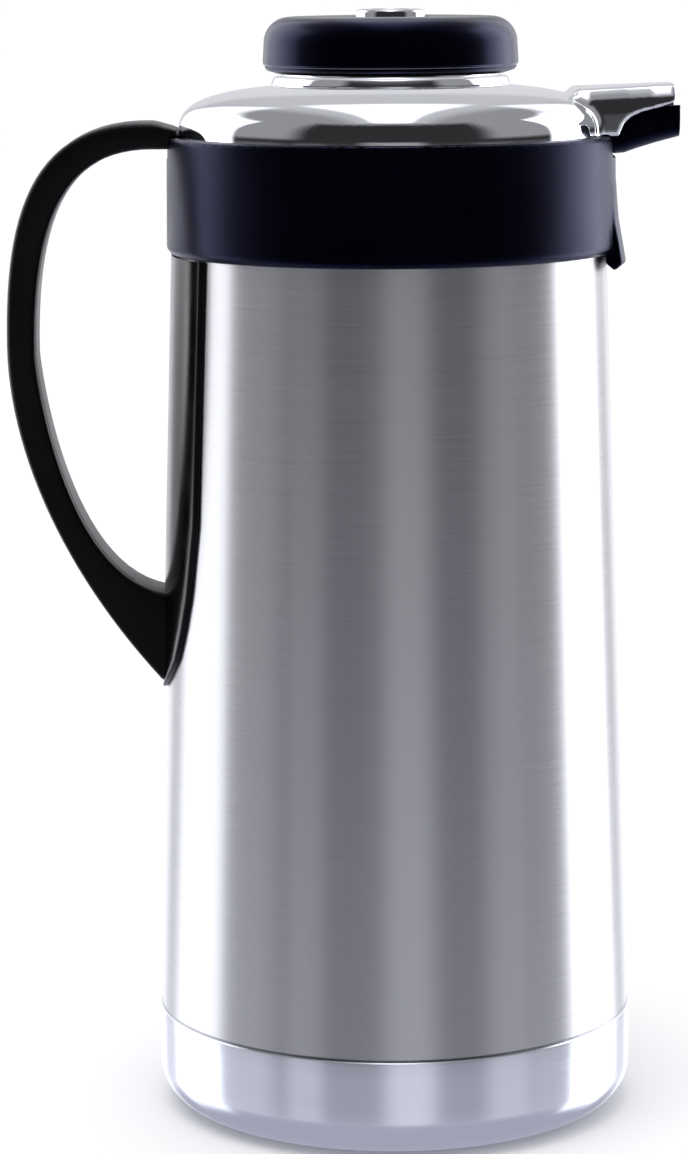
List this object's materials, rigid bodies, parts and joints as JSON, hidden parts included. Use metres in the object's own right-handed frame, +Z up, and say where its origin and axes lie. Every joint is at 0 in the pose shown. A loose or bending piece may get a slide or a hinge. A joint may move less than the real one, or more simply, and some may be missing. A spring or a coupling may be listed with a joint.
{
  "type": "thermal coffee carafe",
  "caption": "Double-walled steel coffee carafe with a black collar and side handle, chrome pouring head, and a screw-in push-button stopper.",
  "frame": {"origin": "on the bottle's axis, in the plane it stands on", "axes": "+Z up along the bottle's axis, +X towards the spout, the handle is on -X"},
  "size_m": [0.1716, 0.124, 0.2854],
  "materials": {
    "brushed_steel": "fine horizontal brushing, satin",
    "polished_steel": "polished",
    "chrome": "mirror chrome plate on moulded plastic",
    "black_plastic": "satin moulded black",
    "grip_plastic": "fine-textured matt black",
    "gloss_black": "gloss black",
    "white_plastic": "plain moulded",
    "foam": "closed-cell foam",
    "silicone": "translucent matt silicone",
    "foot_rubber": "matt rubber",
    "foil": "bright foil",
    "steel": "bright steel",
    "inner_steel": "electropolished steel"
  },
  "bodies": {
    "root": {"outer_shell": "brushed_steel", "shell_bottom": "inner_steel", "vacuum_plug": "steel", "getter": "steel", "inner_liner": "inner_steel", "liner_foil": "foil", "base_cup": "polished_steel", "base_spacer": "white_plastic", "foot_pad": "foot_rubber", "mouth_gasket": "silicone", "neck_insert": "black_plastic", "insert_screws": "steel", "collar": "black_plastic", "dome_cover": "chrome", "neck_ring": "chrome", "spout_seal": "silicone", "spout_trough": "black_plastic", "handle_grip": "grip_plastic", "handle_cover": "grip_plastic", "handle_strip": "grip_plastic", "lower_bracket": "steel", "handle_screws": "steel"},
    "seal_ring": {"upper_gasket": "silicone"},
    "plug_ring": {"lower_gasket": "silicone"},
    "stopper": {"stopper_body": "black_plastic", "knob_cap": "gloss_black", "knob_base_ring": "black_plastic", "knob_screws": "steel", "plug_insulation": "foam", "stem_seal": "silicone"},
    "button": {"push_button": "chrome", "button_inset": "gloss_black", "valve_stem": "steel", "stem_clip": "steel", "valve_disc": "black_plastic", "valve_seal": "silicone", "button_spring": "steel"}
  },
  "joints": [
    {"name": "stopper_lift", "type": "slide", "parent": "root", "child": "seal_ring", "axis": [0, 0, 1], "range_m": [0, 0.07]},
    {"name": "stopper_rise", "type": "slide", "parent": "seal_ring", "child": "plug_ring", "axis": [0, 0, 1], "range_m": [0, 0.00801]},
    {"name": "stopper_turn", "type": "hinge", "parent": "plug_ring", "child": "stopper", "pos_m": [0, 0, 0.25], "axis": [0, 0, 1], "range_deg": [0, 720]},
    {"name": "button_press", "type": "slide", "parent": "stopper", "child": "button", "axis": [0, 0, -1], "range_m": [0, 0.0045], "stiffness_N_per_m": 1200, "springref_m": -0.006, "deforming": ["button_spring"]}
  ],
  "couplings": [
    {"joint": "stopper_rise", "follows": "stopper_turn", "m_per_rad": 0.00063662}
  ]
}
